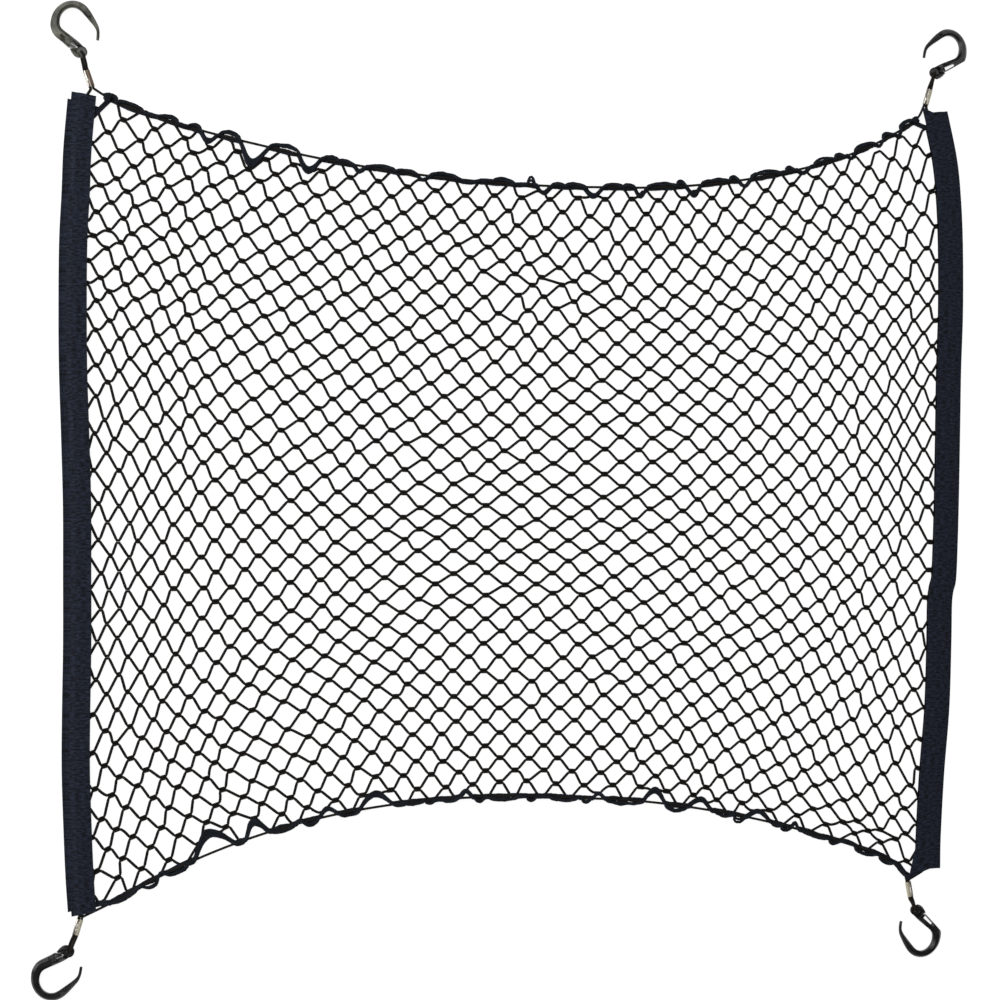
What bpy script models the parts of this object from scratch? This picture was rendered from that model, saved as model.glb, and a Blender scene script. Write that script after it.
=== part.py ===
"""A cargo net: diamond netting between two tape bands, with an elastic cord and four hooks.

Lengths are in metres unless a name ends in _MM. The net lies flat on z = 0, with its head
towards +Y and the middle of the whole object over the origin.
"""
import math
import random

import bmesh
import bpy
from mathutils import Matrix, Vector

MM = 0.001

# From the middle that the tables below count from to the middle of the whole object.
CENTRING = (-0.4 * MM, -0.9 * MM, 0.0)

# The net. Its knots are counted in half meshes, from band to band and from foot to head.
HALF_MESHES_ACROSS = 62
HALF_MESHES_UP = 50
PITCH_STEP = 2                  # half meshes to a step of the cut sheet, twice the net's pitch
NET_THICKNESS = 1.8 * MM
CUT_STRAND = 4.4 * MM           # strand of the cut sheet, for two real strands side by side
SOLID_STEPS_AT_BANDS = 2        # steps left uncut beside each band
SOLID_STEPS_AT_CORDS = 3        # steps left uncut beside each edge cord
NET_IN_TAPE = 7.0 * MM          # how far the net reaches between the two tapes
NET_RISE_IN_TAPE = 1.1 * MM     # its height there, clear of the lower tape
CORNER_INSETS = (4.5 * MM, 1.9 * MM)    # from the cord to the net, beside a band and a step away
SELVEDGE_BASE = 1.6 * MM        # how far the knitted edge stands outside the cord
SELVEDGE_BUMPS = (3.6 * MM, 1.8 * MM)   # added by its long folds and its short ones
SELVEDGE_SHARES = ((0.1, 0.3, 0.7, 0.9), (0.3, 0.42, 0.58, 0.7))    # where each fold turns
SELVEDGE_UNEVENNESS = (0.7, 1.25)
SELVEDGE_SEED = 5

# Marked knots, (x, y) in mm, of five rows of the net. Columns: at the left band, a quarter,
# half and three quarters of the way across, and at the right band. Rows run from the foot up.
MARKS = (-1.0, -0.5, 0.0, 0.5, 1.0)
MARKED_KNOTS_MM = (
    ((-371, -361), (-191, -288), (-2, -271), (196, -294), (372, -349)),
    ((-375, -180), (-221, -151), (-2, -134), (213, -157), (384, -207)),
    ((-376, 32), (-223, 9), (2, 0), (230, -7), (393, -14)),
    ((-378, 204), (-206, 165), (9, 140), (225, 149), (399, 169)),
    ((-368, 347), (-178, 297), (16, 279), (214, 292), (386, 358)),
)

# The bands. Each is two woven tapes, one on top of the other, with the net's side between.
TAPE_THICKNESS = 0.8 * MM
TAPE_STATIONS = 24
# The upper tape's underside. Columns: from the band's inner edge, as a share of the tape's
# width, and height in mm.
UPPER_TAPE_PROFILE = ((0.0, 3.7), (0.3, 3.8), (0.48, 3.8), (0.63, 3.5), (0.84, 1.4), (1.0, 1.1))
# Columns: side (-1 is left), each tape's width and the lower one's shift outwards, both in mm,
# and how much shorter the lower one is at each end, of half the band's length.
BANDS = {"left": (-1.0, 21.2, 2.8, 0.018), "right": (1.0, 24.7, 0.0, 0.01)}

# The elastic cord and its crimped ferrules.
CORD_DIAMETER = 2.2 * MM
CORD_POINT_SPACING = 6.6 * MM
CORD_LOOP_SPACING = 1.54 * MM   # closer together where it bends tightly through a hook's eye
CORD_Z_IN_FERRULE = 2.3 * MM
CORD_Z_ON_NET = 3.2 * MM
CORD_PAIR_SPACING = 2.5 * MM    # between the two runs that share a ferrule
CORD_LEAD = 1.8 * MM            # straight run out of a ferrule
CORD_FIRST_KNOT = 0.965         # how far across the edge cord meets the net
CORD_NET_POINTS = 25            # places along it that lie on the net
CORD_TUNNEL = 11.0 * MM         # from the band's inner edge to the cord inside it
CORD_IN_BAND = 0.045            # how far it goes in, of half the band's length
FERRULE_WIDTH = 5.8 * MM
FERRULE_HEIGHT = 3.8 * MM
FERRULE_SIDES = 20
FIT_GAP = 0.3 * MM

# The hook, flat on z = 0, as at the net's head on the left. Its eye is at its origin.
HOOK_THICKNESS = 6.6 * MM
HOOK_EDGE_BEVEL = 0.9 * MM
EYE_RADIUS = 4.8 * MM
EYE_HOLE_RADIUS = 2.1 * MM
EYE_WALL = (2.55 * MM, 4.05 * MM)   # bottom and top of the thin ring that the cord goes round
EYE_RECESS_RADIUS = 5.6 * MM
EYE_OUTLINE_STEPS = 12
EYE_SIDES = 24
TIP_ROUNDING = 0.4              # how far the tip stands past its first station, of its width
# Centre line from the tip of the hook to its eye. Columns: x, y and width, in mm.
HOOK_STATIONS_MM = (
    (13.6, 11.6, 2.5),
    (13.9, 15.3, 2.6),
    (13.7, 18.8, 2.7),
    (12.7, 22.1, 3.4),
    (10.4, 25.9, 4.2),
    (7.6, 29.9, 5.2),
    (4.6, 34.0, 6.0),
    (1.3, 37.6, 6.3),
    (-2.6, 40.0, 5.9),
    (-7.6, 40.8, 5.5),
    (-12.6, 39.6, 5.5),
    (-17.2, 36.3, 5.8),
    (-20.5, 31.5, 6.4),
    (-21.9, 26.2, 7.1),
    (-21.9, 21.1, 8.0),
    (-20.0, 16.7, 8.6),
    (-16.3, 13.4, 8.6),
    (-12.1, 10.2, 8.8),
    (-6.5, 5.6, 9.4),
)
SLOT_MIDDLE_MM = (-11.4, 8.2)
SLOT_LENGTH = 11.0 * MM
SLOT_WIDTH = 1.6 * MM
SLOT_TURN = math.radians(-38.5)

# Each corner's fittings. Columns: ferrule's end at the net, ferrule's end at the hook and the
# hook's eye as (x, y) in mm, the hook's turn in degrees, and whether it lies on its other face.
CORNERS = {
    "top_left": ((-374.5, 353.0), (-379.0, 366.5), (-382.7, 382.3), 0.0, False),
    "top_right": ((385.7, 366.1), (389.7, 380.0), (394.1, 395.8), -14.4, True),
    "bottom_right": ((368.4, -361.5), (370.9, -375.2), (375.2, -387.9), 176.9, False),
    "bottom_left": ((-384.0, -366.5), (-387.9, -379.6), (-393.5, -393.9), 165.7, True),
}


def clear_scene():
    for thing in list(bpy.data.objects):
        bpy.data.objects.remove(thing, do_unlink=True)


def make_material(name, colour, roughness, metallic=0.0):
    material = bpy.data.materials.new(name)
    material.use_nodes = True
    shader = material.node_tree.nodes["Principled BSDF"]
    shader.inputs["Base Color"].default_value = (*colour, 1.0)
    shader.inputs["Roughness"].default_value = roughness
    shader.inputs["Metallic"].default_value = metallic
    return material


def add_mesh(name, bm, material, parent):
    """Close the bmesh into a named object with outward faces."""
    bmesh.ops.recalc_face_normals(bm, faces=bm.faces)
    mesh = bpy.data.meshes.new(name)
    bm.to_mesh(mesh)
    bm.free()
    mesh.materials.append(material)
    thing = bpy.data.objects.new(name, mesh)
    thing.parent = parent
    bpy.context.collection.objects.link(thing)
    return thing


def mark_weights(at):
    """Weight of each mark in the smooth curve through all five of them."""
    weights = []
    for mark in MARKS:
        weights.append(math.prod((at - other) / (mark - other) for other in MARKS if other != mark))
    return weights


def on_net(across, up):
    """Place on the net: across from -1 to 1 between the bands, up from -1 (foot) to 1 (head)."""
    place = Vector((0.0, 0.0))
    for row_weight, row in zip(mark_weights(up), MARKED_KNOTS_MM):
        for weight, knot in zip(mark_weights(across), row):
            place += Vector(knot) * MM * row_weight * weight
    return place


def on_tape(side, up, reach):
    """Place on a band, at a reach outwards from its inner edge."""
    step = 1.0 / HALF_MESHES_UP
    along = (on_net(side, up + step) - on_net(side, up - step)).normalized()
    outwards = Vector((along.y, -along.x)) * side
    return on_net(side, up) + outwards * reach


def fraction(step, steps):
    return -1.0 + 2.0 * step / steps


def net_corner(step_across, step_up, steps_across, steps_up):
    """A corner of the cut sheet's cells, drawn in beside the cords at the net's four corners."""
    place = on_net(fraction(step_across, steps_across), fraction(step_up, steps_up))
    from_band = min(step_across, steps_across - step_across)
    if from_band < len(CORNER_INSETS) and step_up in (0, steps_up):
        inwards = -1.0 if step_up else 1.0
        place.y += inwards * CORNER_INSETS[from_band]
    rise = NET_RISE_IN_TAPE if step_across in (0, steps_across) else 0.0
    return Vector((place.x, place.y, rise))


def build_net(material, parent):
    """The netting as one sheet, cut at twice its pitch away from the bands and the cords."""
    steps_across = HALF_MESHES_ACROSS // PITCH_STEP
    steps_up = HALF_MESHES_UP // PITCH_STEP
    bm = bmesh.new()
    knots = {}

    def vertex(step_across, step_up):
        key = (step_across, step_up)
        if key not in knots:
            knots[key] = bm.verts.new(net_corner(*key, steps_across, steps_up))
        return knots[key]

    cells_to_cut = []
    for step_up in range(steps_up + 1):
        for step_across in range(steps_across + 1):
            if (step_across + step_up) % 2 == 0:
                continue
            around = [
                (step_across - 1, step_up),
                (step_across, step_up - 1),
                (step_across + 1, step_up),
                (step_across, step_up + 1),
            ]
            outline = []
            for neighbour in around:
                inside = 0 <= neighbour[0] <= steps_across and 0 <= neighbour[1] <= steps_up
                outline.append(neighbour if inside else (step_across, step_up))
            outline = list(dict.fromkeys(outline))
            face = bm.faces.new([vertex(*place) for place in outline])
            from_band = min(step_across, steps_across - step_across)
            from_cord = min(step_up, steps_up - step_up)
            if from_band >= SOLID_STEPS_AT_BANDS and from_cord >= SOLID_STEPS_AT_CORDS:
                cells_to_cut.append(face)

    # Reach in between the tapes at both sides.
    for step_across, side in ((0, -1.0), (steps_across, 1.0)):
        tucked = []
        for step_up in range(steps_up + 1):
            place = net_corner(step_across, step_up, steps_across, steps_up)
            deep = on_tape(side, fraction(step_up, steps_up), NET_IN_TAPE)
            tucked.append(bm.verts.new((deep.x, place.y, NET_RISE_IN_TAPE)))
        for step_up in range(steps_up):
            bm.faces.new((
                vertex(step_across, step_up),
                vertex(step_across, step_up + 1),
                tucked[step_up + 1],
                tucked[step_up],
            ))

    # Fold the knitted edge out past each cord, in long and short bumps by turns.
    rand = random.Random(SELVEDGE_SEED)
    for step_up, outwards in ((0, -1.0), (steps_up, 1.0)):
        for step in range(2, steps_across - 2):
            start = vertex(step, step_up)
            end = vertex(step + 1, step_up)
            bump = SELVEDGE_BUMPS[step % 2] * rand.uniform(*SELVEDGE_UNEVENNESS)
            fold = [start]
            for share, reach in zip(SELVEDGE_SHARES[step % 2], (0.0, bump, bump, 0.0)):
                place = start.co.lerp(end.co, share)
                place.y += outwards * (SELVEDGE_BASE + reach)
                fold.append(bm.verts.new(place))
            fold.append(end)
            bm.faces.new(fold)

    bmesh.ops.recalc_face_normals(bm, faces=bm.faces)
    bmesh.ops.inset_individual(bm, faces=cells_to_cut, thickness=CUT_STRAND / 2)
    bmesh.ops.delete(bm, geom=cells_to_cut, context="FACES")
    sheet = list(bm.faces)
    raised = bmesh.ops.extrude_face_region(bm, geom=sheet, use_keep_orig=True)
    upper = [item for item in raised["geom"] if isinstance(item, bmesh.types.BMVert)]
    bmesh.ops.translate(bm, vec=(0.0, 0.0, NET_THICKNESS), verts=upper)
    return add_mesh("net", bm, material, parent)


def build_tape(name, sections, material, parent):
    """A tape from its cross-sections, each a closed ring of points."""
    bm = bmesh.new()
    rings = [[bm.verts.new(point) for point in section] for section in sections]
    for ring, following in zip(rings, rings[1:]):
        for index in range(len(ring)):
            after = (index + 1) % len(ring)
            bm.faces.new((ring[index], ring[after], following[after], following[index]))
    bm.faces.new(rings[0])
    bm.faces.new(rings[-1])
    return add_mesh(name, bm, material, parent)


def tape_section(side, up, profile):
    """One cross-section. The profile's columns: reach from the inner edge, underside height."""
    ring = []
    for reach, height in profile:
        place = on_tape(side, up, reach)
        ring.append((place.x, place.y, height))
    for reach, height in reversed(profile):
        place = on_tape(side, up, reach)
        ring.append((place.x, place.y, height + TAPE_THICKNESS))
    return ring


def build_bands(material, parent):
    for name, (side, width_mm, shift_mm, shorter) in BANDS.items():
        heights = [fraction(station, TAPE_STATIONS) for station in range(TAPE_STATIONS + 1)]
        profile = [(share * width_mm * MM, height * MM) for share, height in UPPER_TAPE_PROFILE]
        upper = [tape_section(side, up, profile) for up in heights]
        build_tape(f"tape_{name}_upper", upper, material, parent)
        edges = [(shift_mm * MM, 0.0), ((shift_mm + width_mm) * MM, 0.0)]
        lower = [tape_section(side, up * (1.0 - shorter), edges) for up in heights]
        build_tape(f"tape_{name}_lower", lower, material, parent)


def smooth_route(points, spacing):
    """Points along the rounded route through the given ones, about evenly spaced."""
    route = []
    padded = [points[0] * 2 - points[1], *points, points[-1] * 2 - points[-2]]
    for before, start, end, after in zip(padded, padded[1:], padded[2:], padded[3:]):
        pieces = max(1, round((end - start).length / spacing))
        for piece in range(pieces):
            t = piece / pieces
            bend = (2 * before - 5 * start + 4 * end - after) * t * t
            twist = (3 * start - before - 3 * end + after) * t * t * t
            route.append((2 * start + (end - before) * t + bend + twist) / 2)
    route.append(points[-1])
    return route


def build_cord(name, points, spacing, material, parent):
    """An elastic cord as a round tube with closed ends."""
    route = smooth_route(points, spacing)
    curve = bpy.data.curves.new(name, "CURVE")
    curve.dimensions = "3D"
    curve.bevel_depth = CORD_DIAMETER / 2
    curve.bevel_resolution = 2
    curve.use_fill_caps = True
    spline = curve.splines.new("POLY")
    spline.points.add(len(route) - 1)
    for point, place in zip(spline.points, route):
        point.co = (*place, 1.0)
    curve.materials.append(material)
    thing = bpy.data.objects.new(name, curve)
    thing.parent = parent
    bpy.context.collection.objects.link(thing)
    return thing


class Corner:
    """Where a corner's ferrule, cord runs and hook lie."""

    def __init__(self, name):
        net_end, hook_end, eye, turn, flipped = CORNERS[name]
        self.name = name
        self.net_end = Vector(net_end) * MM
        self.hook_end = Vector(hook_end) * MM
        self.eye = Vector(eye) * MM
        self.turn = math.radians(turn)
        self.flipped = flipped
        self.side = -1.0 if "left" in name else 1.0
        self.head = 1.0 if "top" in name else -1.0
        self.axis = (self.hook_end - self.net_end).normalized()
        inwards = Vector((self.axis.y, -self.axis.x))
        self.inwards = inwards if inwards.x * self.side < 0 else -inwards

    def cord_ends(self, run, at_hook=False):
        """Two points straight out of one end of the ferrule. Run 1 lies inwards, run -1 outwards."""
        face = self.hook_end if at_hook else self.net_end
        away = self.axis if at_hook else -self.axis
        points = []
        for distance in (FIT_GAP, FIT_GAP + CORD_LEAD):
            place = face + away * distance + self.inwards * CORD_PAIR_SPACING / 2 * run
            points.append(Vector((place.x, place.y, CORD_Z_IN_FERRULE)))
        return points


def build_edge_cord(name, left, right, material, parent):
    """The cord along the net's head or foot, from ferrule to ferrule."""
    points = left.cord_ends(1)
    last = CORD_NET_POINTS - 1
    for index in range(CORD_NET_POINTS):
        place = on_net(CORD_FIRST_KNOT * fraction(index, last), left.head)
        height = CORD_Z_ON_NET if 0 < index < last else CORD_Z_IN_FERRULE
        points.append(Vector((place.x, place.y, height)))
    points.extend(reversed(right.cord_ends(1)))
    return build_cord(name, points, CORD_POINT_SPACING, material, parent)


def build_band_cord(corner, material, parent):
    """The short run from a ferrule into the band between the two tapes."""
    points = corner.cord_ends(-1)
    for depth in (0.0, 0.5, 1.0):
        place = on_tape(corner.side, corner.head * (1.0 - CORD_IN_BAND * depth), CORD_TUNNEL)
        points.append(Vector((place.x, place.y, CORD_Z_IN_FERRULE)))
    return build_cord(f"cord_{corner.name}_band", points, CORD_POINT_SPACING / 2, material, parent)


def build_hook_loop(corner, material, parent):
    """The cord's loop out of the ferrule, over the eye's ring, down its hole and back beneath."""
    to_ferrule = corner.hook_end - corner.eye
    length = to_ferrule.length
    along = to_ferrule.normalized()
    ring_low, ring_high = EYE_WALL
    clear = FIT_GAP + CORD_DIAMETER / 2
    over = ring_high + clear
    under = ring_low - clear
    # Columns: distance from the eye's centre, to the inward side, height.
    route = (
        (length * 0.66, 1.1 * MM, (CORD_Z_IN_FERRULE + over) / 2),
        (length * 0.45, 1.0 * MM, over - 0.2 * MM),
        (4.6 * MM, 0.9 * MM, over),
        (2.4 * MM, 0.7 * MM, over),
        (0.7 * MM, 0.3 * MM, over - 0.8 * MM),
        (0.2 * MM, 0.0, (ring_low + ring_high) / 2),
        (0.7 * MM, -0.3 * MM, under + 0.8 * MM),
        (2.4 * MM, -0.7 * MM, under),
        (4.6 * MM, -0.9 * MM, under),
        (length * 0.45, -1.0 * MM, under),
        (length * 0.66, -1.1 * MM, (CORD_Z_IN_FERRULE + under) / 2),
    )
    points = corner.cord_ends(1, at_hook=True)
    for distance, sideways, height in route:
        place = corner.eye + along * distance + corner.inwards * sideways
        points.append(Vector((place.x, place.y, height)))
    points.extend(reversed(corner.cord_ends(-1, at_hook=True)))
    return build_cord(f"cord_{corner.name}_loop", points, CORD_LOOP_SPACING, material, parent)


def build_ferrule(corner, material, parent):
    """A flattened metal sleeve, crimped round both runs of cord."""
    length = (corner.hook_end - corner.net_end).length
    bpy.ops.mesh.primitive_cylinder_add(vertices=FERRULE_SIDES, radius=0.5, depth=length)
    thing = bpy.context.object
    thing.name = f"ferrule_{corner.name}"
    thing.data.name = thing.name
    middle = (corner.net_end + corner.hook_end) / 2
    upright = Matrix.Rotation(math.radians(90.0), 4, "X")
    flatten = Matrix.Diagonal((FERRULE_WIDTH, 1.0, FERRULE_HEIGHT, 1.0))
    thing.data.transform(flatten @ upright)
    thing.location = (middle.x, middle.y, CORD_Z_IN_FERRULE)
    thing.rotation_euler.z = math.atan2(-corner.axis.x, corner.axis.y)
    thing.parent = parent
    thing.data.materials.append(material)
    return thing


def hook_outline():
    """The hook's outline, out along one side from its tip, round the eye and back."""
    left = []
    right = []
    stations = [(Vector((x, y)) * MM, width * MM) for x, y, width in HOOK_STATIONS_MM]
    for index, (middle, width) in enumerate(stations):
        before = stations[max(index - 1, 0)][0]
        after = stations[min(index + 1, len(stations) - 1)][0]
        along = (after - before).normalized()
        across = Vector((-along.y, along.x)) * width / 2
        left.append(middle + across)
        right.append(middle - across)
    tip_along = (stations[0][0] - stations[1][0]).normalized()
    tip = stations[0][0] + tip_along * stations[0][1] * TIP_ROUNDING
    start = math.atan2(right[-1].y, right[-1].x)
    end = math.atan2(left[-1].y, left[-1].x)
    sweep = (end - start) % math.tau
    eye = []
    for step in range(1, EYE_OUTLINE_STEPS):
        angle = start + sweep * step / EYE_OUTLINE_STEPS
        eye.append(Vector((math.cos(angle), math.sin(angle))) * EYE_RADIUS)
    return [tip, *right, *eye, *reversed(left)]


def make_hook_mesh(material):
    """The moulded hook, made once: rounded edges, an eye recessed on both faces, a slotted shank."""
    bm = bmesh.new()
    face = bm.faces.new([bm.verts.new((point.x, point.y, 0.0)) for point in hook_outline()])
    raised = bmesh.ops.extrude_face_region(bm, geom=[face], use_keep_orig=True)
    upper = [item for item in raised["geom"] if isinstance(item, bmesh.types.BMVert)]
    bmesh.ops.translate(bm, vec=(0.0, 0.0, HOOK_THICKNESS), verts=upper)
    bmesh.ops.recalc_face_normals(bm, faces=bm.faces)
    rims = [edge for edge in bm.edges if edge.verts[0].co.z == edge.verts[1].co.z]
    bmesh.ops.bevel(bm, geom=rims, offset=HOOK_EDGE_BEVEL, segments=1, affect="EDGES")
    hook = add_mesh("hook", bm, material, None)

    cutters = []
    low, high = EYE_WALL
    for bottom, top, radius in (
        (-HOOK_THICKNESS, low, EYE_RECESS_RADIUS),
        (high, 2 * HOOK_THICKNESS, EYE_RECESS_RADIUS),
        (-HOOK_THICKNESS, 2 * HOOK_THICKNESS, EYE_HOLE_RADIUS),
    ):
        bpy.ops.mesh.primitive_cylinder_add(
            vertices=EYE_SIDES,
            radius=radius,
            depth=top - bottom,
            location=(0.0, 0.0, (bottom + top) / 2),
        )
        cutters.append(bpy.context.object)
    slot_x, slot_y = SLOT_MIDDLE_MM
    bpy.ops.mesh.primitive_cube_add(
        size=1.0,
        location=(slot_x * MM, slot_y * MM, HOOK_THICKNESS / 2),
        rotation=(0.0, 0.0, SLOT_TURN),
    )
    slot = bpy.context.object
    slot.data.transform(Matrix.Diagonal((SLOT_LENGTH, SLOT_WIDTH, 3 * HOOK_THICKNESS, 1.0)))
    cutters.append(slot)

    bpy.context.view_layer.objects.active = hook
    for tool in cutters:
        cut = hook.modifiers.new(tool.name, "BOOLEAN")
        cut.operation = "DIFFERENCE"
        cut.object = tool
        bpy.ops.object.modifier_apply(modifier=cut.name)
        bpy.data.objects.remove(tool, do_unlink=True)
    mesh = hook.data
    bpy.data.objects.remove(hook, do_unlink=True)
    return mesh


def place_hook(corner, mesh, parent):
    """A hook at its corner, turned, and on its other face where it is flipped."""
    thing = bpy.data.objects.new(f"hook_{corner.name}", mesh.copy())
    thing.location = (corner.eye.x, corner.eye.y, HOOK_THICKNESS if corner.flipped else 0.0)
    thing.rotation_euler = (0.0, math.pi if corner.flipped else 0.0, corner.turn)
    thing.parent = parent
    bpy.context.collection.objects.link(thing)
    return thing


def build():
    clear_scene()
    netting = make_material("knitted_netting", (0.012, 0.011, 0.010), 0.9)
    tape = make_material("woven_tape", (0.008, 0.010, 0.018), 0.85)
    elastic = make_material("covered_elastic", (0.016, 0.012, 0.010), 0.7)
    nickel = make_material("nickel_plate", (0.62, 0.60, 0.56), 0.25, 1.0)
    nylon = make_material("moulded_nylon", (0.030, 0.030, 0.026), 0.4)

    root = bpy.data.objects.new("cargo_net", None)
    root.location = CENTRING
    bpy.context.collection.objects.link(root)
    build_net(netting, root)
    build_bands(tape, root)
    corners = {name: Corner(name) for name in CORNERS}
    for end in ("top", "bottom"):
        build_edge_cord(f"cord_{end}", corners[f"{end}_left"], corners[f"{end}_right"], elastic, root)
    hook_mesh = make_hook_mesh(nylon)
    for corner in corners.values():
        build_band_cord(corner, elastic, root)
        build_hook_loop(corner, elastic, root)
        build_ferrule(corner, nickel, root)
        place_hook(corner, hook_mesh, root)


build()
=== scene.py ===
"""A cargo net laid out flat: diamond netting between two woven bands, elastic cords, four hooks.

Lengths are in metres unless a name ends in _MM. The head of the net lies towards +Y.
"""
import functools
import math

import bmesh
import bpy
import numpy as np
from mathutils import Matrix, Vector


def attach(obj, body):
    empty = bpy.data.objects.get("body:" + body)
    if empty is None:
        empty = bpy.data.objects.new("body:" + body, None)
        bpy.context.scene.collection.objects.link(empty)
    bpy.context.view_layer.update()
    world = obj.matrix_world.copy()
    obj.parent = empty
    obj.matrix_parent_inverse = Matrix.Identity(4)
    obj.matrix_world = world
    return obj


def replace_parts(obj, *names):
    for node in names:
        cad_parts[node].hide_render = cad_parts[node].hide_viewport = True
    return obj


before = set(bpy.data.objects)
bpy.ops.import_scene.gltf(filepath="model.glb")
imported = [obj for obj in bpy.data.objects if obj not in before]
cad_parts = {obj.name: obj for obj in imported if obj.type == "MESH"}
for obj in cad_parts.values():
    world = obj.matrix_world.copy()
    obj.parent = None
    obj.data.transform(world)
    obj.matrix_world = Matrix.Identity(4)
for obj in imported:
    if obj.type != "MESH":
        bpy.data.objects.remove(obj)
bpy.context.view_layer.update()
scene = bpy.context.scene
MM = 0.001

# ---------------------------------------------------------------------------------------------
# Camera, light and floor. The net lies on a white table that glows a little, as a light table
# does, under an even sky of diffused light, with soft boxes for the shine on hooks and ferrules.
# The camera looks down on it from 1.4 m, tipped a little to one side.
CAMERA_AIM = Vector((-17.4, -5.4, 0.0)) * MM
CAMERA_DISTANCE = 1.4
CAMERA_TIP = math.radians(-8.5)
CAMERA_LENS = 56.0  # in mm, on a sensor 36 mm wide
SKY_STRENGTH = 0.22
TABLE_GLOW = 0.9
TABLE_SIZE = 8.0
TABLE_DROP = 0.2 * MM  # below the underside of the net
# Columns: where each soft box stands, its size, both in metres, and its power in watts.
SOFT_BOXES = (
    ((-1.5, 1.0, 1.5), 1.2, 16.0),
    ((1.6, 0.9, 1.4), 1.2, 9.0),
    ((0.0, -0.95, 1.4), 0.8, 4.0),
    ((-0.56, 0.81, 1.38), 0.5, 3.0),
    ((-1.7, 0.1, 0.6), 0.9, 9.0),
)


def srgb(code):
    """A colour written as hexadecimal sRGB, as linear values for a shader."""
    parts = [int(code[place:place + 2], 16) / 255 for place in (1, 3, 5)]
    return [c / 12.92 if c <= 0.04045 else ((c + 0.055) / 1.055) ** 2.4 for c in parts] + [1.0]


def add_node(tree, kind, inputs=None, **settings):
    """A node with its settings. Its inputs are values, or nodes or sockets to be linked from."""
    made = tree.nodes.new("ShaderNode" + kind)
    for name, value in settings.items():
        setattr(made, name, value)
    for name, value in (inputs or {}).items():
        if isinstance(value, bpy.types.Node):
            value = value.outputs[0]
        if isinstance(value, bpy.types.NodeSocket):
            tree.links.new(value, made.inputs[name])
        else:
            made.inputs[name].default_value = value
    return made


def new_material(name, values):
    """A material, a function that adds its nodes, and its shader, with values set on it."""
    material = bpy.data.materials.new(name)
    material.use_nodes = True
    shader = material.node_tree.nodes["Principled BSDF"]
    for socket, value in values.items():
        shader.inputs[socket].default_value = value
    return material, functools.partial(add_node, material.node_tree), shader


def add_object(name, data):
    """An object in the scene."""
    thing = bpy.data.objects.new(name, data)
    scene.collection.objects.link(thing)
    return thing


scene.view_settings.view_transform = "Standard"
camera_data = bpy.data.cameras.new("camera")
camera_data.lens = CAMERA_LENS
camera_data.sensor_width = 36.0
camera_data.clip_end = 20.0
camera = add_object("camera", camera_data)
camera.rotation_euler = (0.0, CAMERA_TIP, 0.0)
away = Vector((math.sin(CAMERA_TIP), 0.0, math.cos(CAMERA_TIP)))
camera.location = CAMERA_AIM + away * CAMERA_DISTANCE
scene.camera = camera

sky = bpy.data.worlds.new("sky")
sky.use_nodes = True
background = sky.node_tree.nodes["Background"]
background.inputs["Color"].default_value = srgb("#ffffff")
background.inputs["Strength"].default_value = SKY_STRENGTH
scene.world = sky
for number, (place, size, power) in enumerate(SOFT_BOXES, start=1):
    light_data = bpy.data.lights.new(f"soft_box_{number}", "AREA")
    light_data.size = size
    light_data.energy = power
    light = add_object(light_data.name, light_data)
    light.location = place
    light.rotation_euler = (-Vector(place)).to_track_quat("-Z", "Y").to_euler()

bpy.ops.object.select_all(action="DESELECT")
bpy.ops.mesh.primitive_plane_add(size=TABLE_SIZE, location=(0.0, 0.0, -TABLE_DROP))
table = bpy.context.object
table.name = "table"
# Glowing milk glass: an even white ground that drowns the net's shadows.
milk_glass, _, _ = new_material("lit_milk_glass", {
    "Base Color": srgb("#848484"),
    "Roughness": 0.9,
    "Emission Color": srgb("#ffffff"),
    "Emission Strength": TABLE_GLOW,
})
table.data.materials.append(milk_glass)

# ---------------------------------------------------------------------------------------------
# The netting. Knotless netting knitted from black polyester: 50 strands run from band to band,
# each zigzagging between two rows of joints, and at every joint two neighbours run side by
# side. It is slack beside the bands, where the strands curl, and stretched in the middle.
CENTRING = Vector((-0.4, -0.9, 0.0)) * MM  # from where things are measured to the frame's origin
HALF_MESHES_ACROSS = 62
HALF_MESHES_UP = 50
HIDDEN_HALF_MESHES = 2  # more of them on each side, where the strands run into the bands
STRAND_DIAMETER = 2.5 * MM
STRAND_SIDES = 6
STRAND_HEIGHT = 1.2 * MM
HEIGHT_IN_BAND = 2.0 * MM
REACH_IN_BAND = 8.0 * MM  # where the strands end between the tapes
RISE_LENGTH = 12.0 * MM  # from lying on the table to passing between the tapes
JOINT_OFFSET = 1.15 * MM  # of each of a joint's two strands from its middle
JOINT_HALF_LENGTH = 2.8 * MM
JOINT_BEND = 0.8 * MM  # how sharply a strand turns out of a joint
LEG_LENGTH = 16.4 * MM  # strand knitted into each half mesh
LEG_VARIATION = 0.12 * MM
# A leg longer than its gap bows. The excess, as a share of the gap: what the joints take up, the
# least that is drawn as a bow, and the most.
EXCESS_TAKEN_UP = 0.02
SLACK_SHOWN = 0.01
SLACK_LIMIT = 0.028
BOW_HANDLES = 1.33  # how far a bow's handles stand out, per depth of the bow
# Joints are shorter and turn more sharply where the netting is crowded: four half meshes span
# this where it is open, and the joint shrinks with this power of what they span.
OPEN_SPAN = 47.0 * MM
CROWDING_EFFECT = 2.7
# Where a taut leg and a slack one have their rings of faces, as shares of the leg.
TAUT_RINGS = (0.0, 0.22, 0.78, 1.0)
SLACK_RINGS = (0.0, 0.2, 0.4, 0.6, 0.8, 1.0)
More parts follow.
